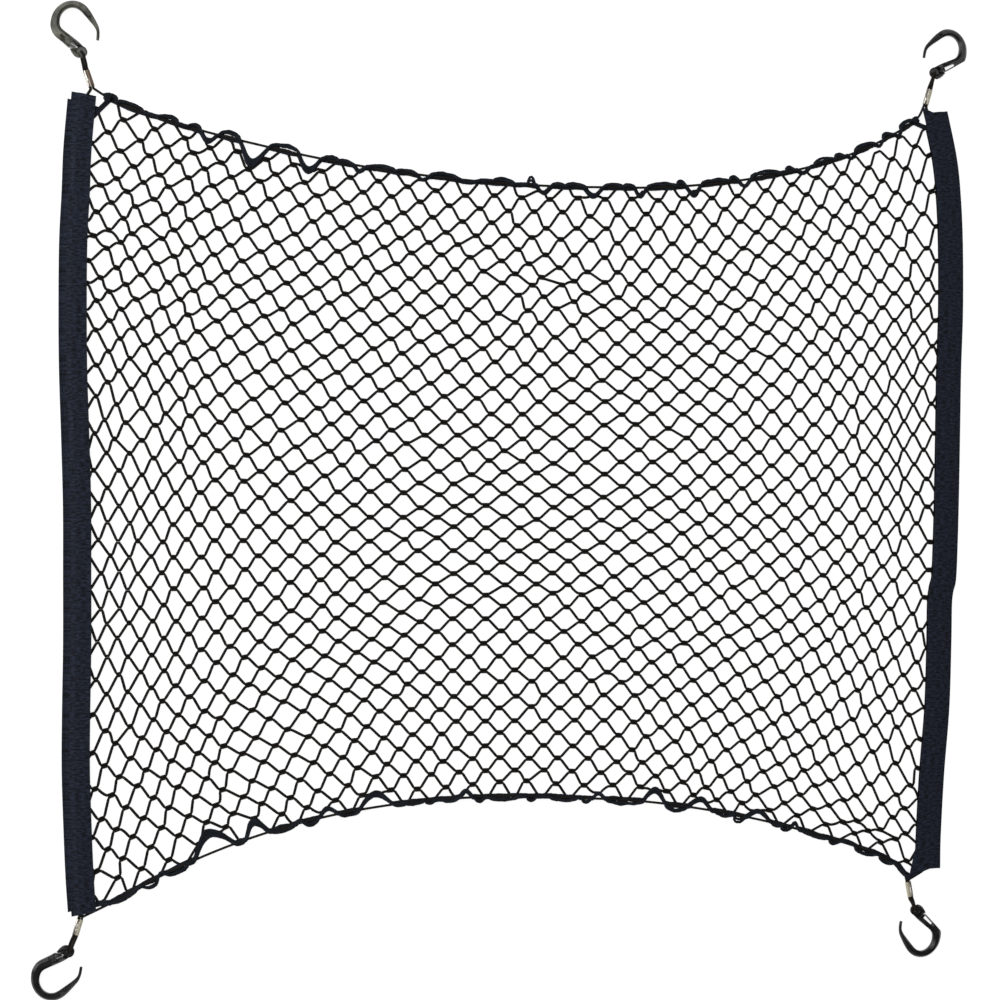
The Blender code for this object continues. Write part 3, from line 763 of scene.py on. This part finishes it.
# Distance between a cord's rings of faces.
NET_CORD_STEP, BAND_CORD_STEP, LOOP_STEP = 2.5 * MM, 1.2 * MM, 0.8 * MM
FIT_GAP = 0.3 * MM  # between a cord and a ferrule's end or a hook's eye
LOOP_SLACK = 0.3 * MM  # how much higher than that a loop passes over the eye
EYE_WALL = (2.55 * MM, 4.05 * MM)  # the heights of the two faces of an eye
# Each corner's fittings. Columns: ferrule's end at the net, ferrule's end at the hook and the
# hook's eye as (x, y) in mm, the hook's turn in degrees, and whether it lies on its other face.
CORNERS = {
    "top_left": ((-374.5, 353.0), (-379.0, 366.5), (-382.7, 382.3), 0.0, False),
    "top_right": ((385.7, 366.1), (389.7, 380.0), (394.1, 395.8), -14.4, True),
    "bottom_right": ((368.4, -361.5), (370.9, -375.2), (375.2, -387.9), 176.9, False),
    "bottom_left": ((-384.0, -366.5), (-387.9, -379.6), (-393.5, -393.9), 165.7, True),
}


def on_tape(side, up, reach):
    """Place on a band, at a reach outwards from its inner edge."""
    along = (on_net(side, up + BAND_STEP) - on_net(side, up - BAND_STEP)).normalized()
    return on_net(side, up) + Vector((along.y, -along.x)) * side * reach


def smooth_route(points, spacing):
    """Points along the rounded route through the given ones, about evenly spaced."""
    route = []
    for index, (start, end) in enumerate(zip(points, points[1:])):
        pieces = max(1, round((end - start).length / spacing))
        route.extend(rounded(points, index + piece / pieces) for piece in range(pieces))
    route.append(points[-1])
    return route


def square_inwards(axis, side):
    """The direction square to an axis that points to the net's middle line from one side."""
    square = Vector((axis.y, -axis.x))
    return -square if square.x * side > 0 else square


def cord_ends(corner, run, at_hook=False):
    """Two points straight out of one end of a ferrule. Run 1 lies inwards, run -1 outwards."""
    net_end, hook_end = (Vector(end) * MM for end in CORNERS[corner][:2])
    axis = (hook_end - net_end).normalized()
    inwards = square_inwards(axis, net_end.x)
    face, away = (hook_end, axis) if at_hook else (net_end, -axis)
    beside = inwards * CORD_PAIR_SPACING / 2 * run
    distances = (FIT_GAP, FIT_GAP + CORD_LEAD)
    return [lift(face + away * distance + beside, FERRULE_Z) for distance in distances]


# Brown-black braid, a little glossier than the netting.
elastic_black = thread_material(
    "braided_polyester_cover",
    dark="#0c0a08",
    light="#2b251f",
    pitch=1.8 * MM,
    girth=math.pi * CORD_DIAMETER,
    ribs=3,
    roughness=0.7,
)


def add_cord(name, points, spacing, replaced, diameter=CORD_DIAMETER):
    """A run of cord through the points, in the place of a plain one."""
    bm = bmesh.new()
    route = [point + CENTRING for point in smooth_route(points, spacing)]
    add_tube(bm, route, diameter / 2, CORD_SIDES)
    for corner in bm.verts:
        corner.co.z = max(corner.co.z, 0.0)  # soft cord is pressed flat on the table
    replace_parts(add_piece(name, bm, elastic_black), replaced)


for end, head in (("top", 1.0), ("bottom", -1.0)):
    points = cord_ends(f"{end}_left", 1)
    last = CORD_NET_POINTS - 1
    for index in range(CORD_NET_POINTS):
        place = on_net(CORD_FIRST_KNOT * (-1.0 + 2.0 * index / last), head)
        place.y = float(np.interp(place.x, *edge_lines[head]))
        height = CORD_HEIGHT if 0 < index < last else FERRULE_Z
        points.append(lift(place, height))
    points.extend(reversed(cord_ends(f"{end}_right", 1)))
    add_cord(f"elastic_{end}", points, NET_CORD_STEP, f"cord_{end}")
for corner, (_, hook_end, eye, *_) in CORNERS.items():
    side = -1.0 if "left" in corner else 1.0
    head = 1.0 if "top" in corner else -1.0
    points = cord_ends(corner, -1)
    for depth in (0.0, 0.5, 1.0):
        reach = CORD_TUNNEL if depth else BAND_ENTRIES[corner] * MM
        place = on_tape(side, head * (1.0 - CORD_IN_BAND * depth), reach)
        points.append(lift(place, FERRULE_Z))
    add_cord(
        f"elastic_{corner}_band", points, BAND_CORD_STEP, f"cord_{corner}_band", LOOP_DIAMETER
    )

    eye = Vector(eye) * MM
    to_ferrule = Vector(hook_end) * MM - eye
    length = to_ferrule.length
    along = to_ferrule.normalized()
    inwards = square_inwards(along, side)
    ring_low, ring_high = EYE_WALL
    clear = FIT_GAP + CORD_DIAMETER / 2
    over = ring_high + clear + LOOP_SLACK
    under = ring_low - clear
    # Columns: distance from the eye's centre, to the inward side, height.
    loop_route = (
        (length * 0.66, 1.3 * MM, (FERRULE_Z + over) / 2),
        (length * 0.45, 1.3 * MM, over - 0.2 * MM),
        (4.6 * MM, 1.2 * MM, over),
        (2.4 * MM, 0.9 * MM, over),
        (0.7 * MM, 0.3 * MM, over - 0.8 * MM),
        (0.1 * MM, 0.0, (ring_low + ring_high) / 2),
        (0.7 * MM, -0.3 * MM, under + 0.8 * MM),
        (2.4 * MM, -0.9 * MM, under),
        (4.6 * MM, -1.2 * MM, under),
        (length * 0.45, -1.3 * MM, under),
        (length * 0.66, -1.3 * MM, (FERRULE_Z + under) / 2),
    )
    points = cord_ends(corner, 1, at_hook=True)
    for distance, sideways, height in loop_route:
        place = eye + along * distance + inwards * sideways
        points.append(lift(place, height))
    points.extend(reversed(cord_ends(corner, -1, at_hook=True)))
    add_cord(f"elastic_{corner}_loop", points, LOOP_STEP, f"cord_{corner}_loop", LOOP_DIAMETER)

# ---------------------------------------------------------------------------------------------
# The ferrules. Two short tubes of nickelled brass side by side, pressed together round the two
# ends of the cord. One tube of each pair is coloured beige or brown, a painted reflection.
FERRULE_TUBE_RADIUS = 1.8 * MM
FERRULE_TUBE_OFFSET = 1.1 * MM
FERRULE_TUBE_SIDES = 40
FERRULE_SOFT_EDGE = 0.25 * MM
FERRULE_SOFTENED = math.radians(50)  # edges sharper than this are softened
FERRULE_SMOOTHED = math.radians(35)  # and blunter ones are shaded smooth
METAL_BLOTCHES = 900.0  # per metre: about 1.1 mm across
METAL_SCRATCHES = 3000.0  # per metre: about 0.3 mm across, drawn coarser than real ones
# Each corner's left and right tube, looking from the net to the hook: nickel, or a painted
# reflection.
FERRULE_NICKEL_AND_PAINTED_REFLECTIONS = {
    "top_left": ("nickel", "painted_brown_reflection"),
    "top_right": ("nickel", "painted_beige_reflection"),
    "bottom_right": ("nickel", "painted_beige_reflection"),
    "bottom_left": ("painted_beige_reflection", "nickel"),
}


def metal_material(name, dark, light, roughness, metallic):
    """Plated metal with blotches and fine scratches."""
    material, node, shader = new_material(name, {"Roughness": roughness, "Metallic": metallic})
    body = node("TexCoord").outputs["Object"]
    blotch = node("TexNoise", {"Vector": body, "Scale": METAL_BLOTCHES, "Detail": 4.0})
    blotch = node("MapRange", {"Value": blotch, "From Min": 0.2, "From Max": 0.8})
    scratch = node("TexNoise", {"Vector": body, "Scale": METAL_SCRATCHES})
    finish_material(
        node, shader, blotch, dark, light, relief=scratch, strength=0.3, depth=0.04 * MM
    )
    return material


def select_only(thing):
    """Make the object the only selected one, and the active one."""
    bpy.ops.object.select_all(action="DESELECT")
    thing.select_set(True)
    bpy.context.view_layer.objects.active = thing


def join_tool(thing, tool, operation, **settings):
    """Join another solid to the object, or cut it out of it, and remove it."""
    modifier = thing.modifiers.new("tool", "BOOLEAN")
    for name, value in settings.items():
        setattr(modifier, name, value)
    modifier.operation = operation
    modifier.object = tool
    select_only(thing)
    bpy.ops.object.modifier_apply(modifier=modifier.name)
    bpy.data.objects.remove(tool, do_unlink=True)


def soften_edges(thing, width, angle, smooth_angle):
    """Round the object's sharp edges a little and shade its faces smooth."""
    bevel = thing.modifiers.new("soften", "BEVEL")
    bevel.width = width
    bevel.segments = 2
    bevel.limit_method = "ANGLE"
    bevel.angle_limit = angle
    select_only(thing)
    bpy.ops.object.modifier_apply(modifier=bevel.name)
    bpy.ops.object.shade_smooth_by_angle(angle=smooth_angle)


ferrule_metals = {
    # Bright plating: dark sides and a hard line of light.
    "nickel": metal_material(
        "bright_nickel", "#3a3634", "#e2dcd2", roughness=0.2, metallic=1.0
    ),
    # Dull pale beige, a painted reflection: the pale half of each ferrule.
    "painted_beige_reflection": metal_material(
        "nickel_painted_beige_reflection", "#8f8872", "#ddd7c2", roughness=0.5, metallic=0.0
    ),
    # Dark brown, a painted reflection: the dark half of the ferrule at the upper left.
    "painted_brown_reflection": metal_material(
        "nickel_painted_brown_reflection", "#241812", "#806854", roughness=0.4, metallic=0.2
    ),
}
for corner, (net_end, hook_end, *_) in CORNERS.items():
    net_end, hook_end = Vector(net_end) * MM, Vector(hook_end) * MM
    middle = (net_end + hook_end) / 2
    axis = hook_end - net_end
    tubes = []
    # One tube of each pair is nickel, the other is coloured beige or brown as a painted reflection.
    for beside, finish in zip((-1, 1), FERRULE_NICKEL_AND_PAINTED_REFLECTIONS[corner]):
        bpy.ops.object.select_all(action="DESELECT")
        bpy.ops.mesh.primitive_cylinder_add(
            vertices=FERRULE_TUBE_SIDES,
            radius=FERRULE_TUBE_RADIUS,
            depth=axis.length,
            location=(beside * FERRULE_TUBE_OFFSET, 0.0, 0.0),
            rotation=(math.pi / 2, 0.0, 0.0),
        )
        bpy.context.object.data.materials.append(ferrule_metals[finish])
        tubes.append(bpy.context.object)
    ferrule, other = tubes
    ferrule.name = f"crimp_ferrule_{corner}"
    join_tool(ferrule, other, "UNION", material_mode="TRANSFER")
    soften_edges(ferrule, FERRULE_SOFT_EDGE, FERRULE_SOFTENED, FERRULE_SMOOTHED)
    bpy.ops.object.transform_apply()
    ferrule.location = lift(middle, FERRULE_Z) + CENTRING
    ferrule.rotation_euler = (0.0, 0.0, math.atan2(-axis.x, axis.y))
    bpy.ops.object.transform_apply()
    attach(ferrule, "root")
    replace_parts(ferrule, f"ferrule_{corner}")

# ---------------------------------------------------------------------------------------------
# The hooks. Moulded nylon with an eight-sided section: a long arm curled to a thin nib, a
# shank with a window or a slot along it and a notch beside the eye, and a flat eye with a lug.
HOOK_THICKNESS = 6.6 * MM
HOOK_STATIONS_PER_ROW = 3
HOOK_CLEARANCE = 0.02 * MM  # above the table
EYE_SIDES = 48
EYE_RADIUS = 4.9 * MM
EYE_HOLE_RADIUS = 1.3 * MM
EYE_RECESS_RADIUS = 5.7 * MM
EYE_RIM_RADIUS = 4.3 * MM  # of the rim round each face of the eye
EYE_RIM_HEIGHT = 0.42 * MM
EYE_RIM_TURN = math.radians(3.0)  # keeps the rim's edges off the disc's
EYE_RIM_SIDES = 12
HOOK_SOFT_EDGE = 0.22 * MM
HOOK_SOFTENED = math.radians(32)
HOOK_SMOOTHED = math.radians(25)
FLOW_MARKS = 120.0  # per metre: about 8 mm apart
NYLON_GRAIN = 2500.0  # per metre: about 0.4 mm, drawn coarser than the mould's real grain
# Centre line from the nib to the eye. Columns, in mm: x, y, width, thickness.
HOOK_ROWS_MM = (
    (13.5, 10.6, 2.3, 2.4), (13.9, 15.0, 2.5, 2.8), (13.8, 18.6, 2.6, 3.2),
    (12.7, 22.1, 3.4, 4.4), (10.4, 25.9, 4.2, 5.4), (7.6, 29.9, 5.2, 6.2),
    (4.6, 34.0, 6.0, 6.6), (1.3, 37.6, 6.3, 6.6), (-2.6, 40.0, 5.9, 6.6),
    (-7.6, 40.8, 5.5, 6.6), (-12.6, 39.6, 5.5, 6.6), (-17.2, 36.3, 5.8, 6.6),
    (-20.5, 31.5, 6.4, 6.6), (-21.9, 26.2, 7.1, 6.6), (-21.9, 21.1, 8.0, 6.6),
    (-20.0, 16.7, 8.6, 6.6), (-16.3, 13.4, 8.6, 6.6), (-12.1, 10.2, 8.8, 6.6),
    (-6.5, 5.6, 9.4, 6.6), (-1.5, 1.6, 8.6, 6.6),
)
# The lug beside the eye, as stations like those above.
LUG_ROWS_MM = (
    (-9.4, 2.0, 0.8, 4.4), (-7.4, -0.1, 2.6, 5.4), (-5.2, -1.9, 4.0, 5.6),
    (-3.2, -3.0, 4.2, 5.4), (-1.4, -3.6, 3.2, 4.6),
)
# What is cut out of the shanks at some corners: on the left the window shows as a groove with a
# slit beside it, and on the right it is open and the shank is trimmed. Columns, all in mm: the
# cut's two ends (x, y), its width at each, and the height that it goes down to.
NOTCH = ((-11.6, 2.6), (-4.4, 3.4), 2.0, 0.9, -1.0)
HOOK_KINDS = (
    (("top_left", "bottom_left"), (
        ((-17.2, 13.4), (-4.0, 2.2), 2.0, 3.6, 5.5),
        ((-9.6, 7.6), (-3.0, 3.4), 1.1, 1.1, -1.0),
        NOTCH,
    )),
    (("top_right", "bottom_right"), (
        ((-17.7, 13.7), (-7.9, 5.2), 1.9, 3.2, -1.0),
        ((-28.4, 18.7), (-10.6, 1.4), 4.0, 4.0, -1.0),
        NOTCH,
    )),
)

# Moulded nylon: a dull sheen and faint flow marks, with painted highlights on the sharp edges and
# painted shade in hollows. The one at the upper left is a lit copy, painted grey as painted light.
hook_materials = {}
# The grey tone is painted light: a lit copy of the black nylon, for the hook at the upper left.
for tone, dark, light in (("painted_lit_grey", "#0d0e0b", "#5c5c50"), ("black", "#020302", "#1e201e")):
    values = {"Roughness": 0.27, "Specular IOR Level": 0.34}
    nylon, node, shader = new_material(f"moulded_nylon_{tone}", values)
    body = node("TexCoord").outputs["Object"]
    flow = node("TexNoise", {"Vector": body, "Scale": FLOW_MARKS, "Detail": 4.0})
    flow = node("MapRange", {"Value": flow, "From Min": 0.34, "From Max": 0.7})
    # Painted highlight and shade: paler along sharp outer edges, darkest in hollows.
    painted_edge_light = node("NewGeometry").outputs["Pointiness"]
    painted_edge_light = node("MapRange", {"Value": painted_edge_light, "From Min": 0.49, "From Max": 0.56})
    shade = node("Math", {0: flow, 1: painted_edge_light}, operation="MULTIPLY")
    grain = node("TexNoise", {"Vector": body, "Scale": NYLON_GRAIN})
    finish_material(
        node, shader, shade, dark, light, relief=grain, strength=0.25, depth=0.05 * MM
    )
    hook_materials[tone] = nylon


def swept(rows, sides):
    """A bar along rows of (x, y, width, thickness, middle height), its section's faces level."""
    origin = (0.0, 0.0, 0.0)
    bpy.ops.object.select_all(action="DESELECT")
    bpy.ops.mesh.primitive_circle_add(
        vertices=sides, radius=0.5 / math.cos(math.pi / sides), fill_type="NGON"
    )
    bar = bpy.context.object
    bpy.ops.object.mode_set(mode="EDIT")
    bpy.ops.mesh.select_all(action="SELECT")
    bpy.ops.transform.rotate(value=math.pi / sides, orient_axis="Z", center_override=origin)
    bpy.ops.transform.rotate(value=math.pi / 2, orient_axis="X", center_override=origin)
    facing, place, size = 0.0, Vector(origin), (1.0, 1.0)
    for index, (x, y, width, thickness, middle) in enumerate(rows):
        before, after = rows[max(index - 1, 0)], rows[min(index + 1, len(rows) - 1)]
        turn = math.atan2(before[0] - after[0], after[1] - before[1])
        target = Vector((x, y, middle))
        if index:
            bpy.ops.mesh.extrude_region_move()
        bpy.ops.transform.rotate(value=facing, orient_axis="Z", center_override=place)
        stretch = (width / size[0], 1.0, thickness / size[1])
        bpy.ops.transform.resize(value=stretch, center_override=place)
        bpy.ops.transform.rotate(value=-turn, orient_axis="Z", center_override=place)
        bpy.ops.transform.translate(value=target - place)
        facing, place, size = turn, target, (width, thickness)
    bpy.ops.mesh.select_all(action="SELECT")
    bpy.ops.mesh.normals_make_consistent(inside=False)
    bpy.ops.object.mode_set(mode="OBJECT")
    return bar


shank = [Vector(values) for values in HOOK_ROWS_MM]
steps = (len(shank) - 1) * HOOK_STATIONS_PER_ROW
bar_rows = [
    (*(rounded(shank, step / HOOK_STATIONS_PER_ROW) * MM), HOOK_THICKNESS / 2)
    for step in range(steps + 1)
]
lug_rows = [(*(Vector(values) * MM), HOOK_THICKNESS / 2) for values in LUG_ROWS_MM]
for corners, cuts in HOOK_KINDS:
    hook = swept(bar_rows, 8)
    tools = []
    for radius, low, high, operation in (
        (EYE_RADIUS, 0.0, HOOK_THICKNESS, "UNION"),
        (EYE_RECESS_RADIUS, EYE_WALL[1], 2 * HOOK_THICKNESS, "DIFFERENCE"),
        (EYE_RECESS_RADIUS, -HOOK_THICKNESS, EYE_WALL[0], "DIFFERENCE"),
        (EYE_HOLE_RADIUS, -HOOK_THICKNESS, 2 * HOOK_THICKNESS, "DIFFERENCE"),
    ):
        bpy.ops.object.select_all(action="DESELECT")
        bpy.ops.mesh.primitive_cylinder_add(
            vertices=EYE_SIDES,
            radius=radius,
            depth=high - low,
            location=(0.0, 0.0, (low + high) / 2),
        )
        tools.append((bpy.context.object, operation))
    for start, end, start_width, end_width, low in cuts:
        height, middle = 2 * HOOK_THICKNESS, low * MM + HOOK_THICKNESS
        cut_rows = [
            (x * MM, y * MM, width * MM, height, middle)
            for (x, y), width in ((start, start_width), (end, end_width))
        ]
        tools.append((swept(cut_rows, 4), "DIFFERENCE"))
    tools.append((swept(lug_rows, 8), "UNION"))
    for face in EYE_WALL:
        bpy.ops.object.select_all(action="DESELECT")
        bpy.ops.mesh.primitive_torus_add(
            major_segments=EYE_SIDES,
            minor_segments=EYE_RIM_SIDES,
            major_radius=EYE_RIM_RADIUS,
            minor_radius=EYE_RIM_HEIGHT,
            location=(0.0, 0.0, face),
            rotation=(0.0, 0.0, EYE_RIM_TURN),
        )
        tools.append((bpy.context.object, "UNION"))
    for tool, operation in tools:
        join_tool(hook, tool, operation)
    soften_edges(hook, HOOK_SOFT_EDGE, HOOK_SOFTENED, HOOK_SMOOTHED)
    for corner in corners:
        eye, turn, flipped = CORNERS[corner][2:]
        piece = add_object(f"snap_hook_{corner}", hook.data.copy())
        piece.location = Vector((*eye, 0.0)) * MM + CENTRING
        piece.location.z = HOOK_CLEARANCE + (HOOK_THICKNESS if flipped else 0.0)
        piece.rotation_euler = (0.0, math.pi if flipped else 0.0, math.radians(turn))
        select_only(piece)
        bpy.ops.object.transform_apply()
        # The hook at the upper left takes the lit grey copy, painted light.
        piece.data.materials.append(hook_materials["painted_lit_grey" if corner == "top_left" else "black"])
        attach(piece, "root")
        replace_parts(piece, f"hook_{corner}")
    bpy.data.objects.remove(hook, do_unlink=True)
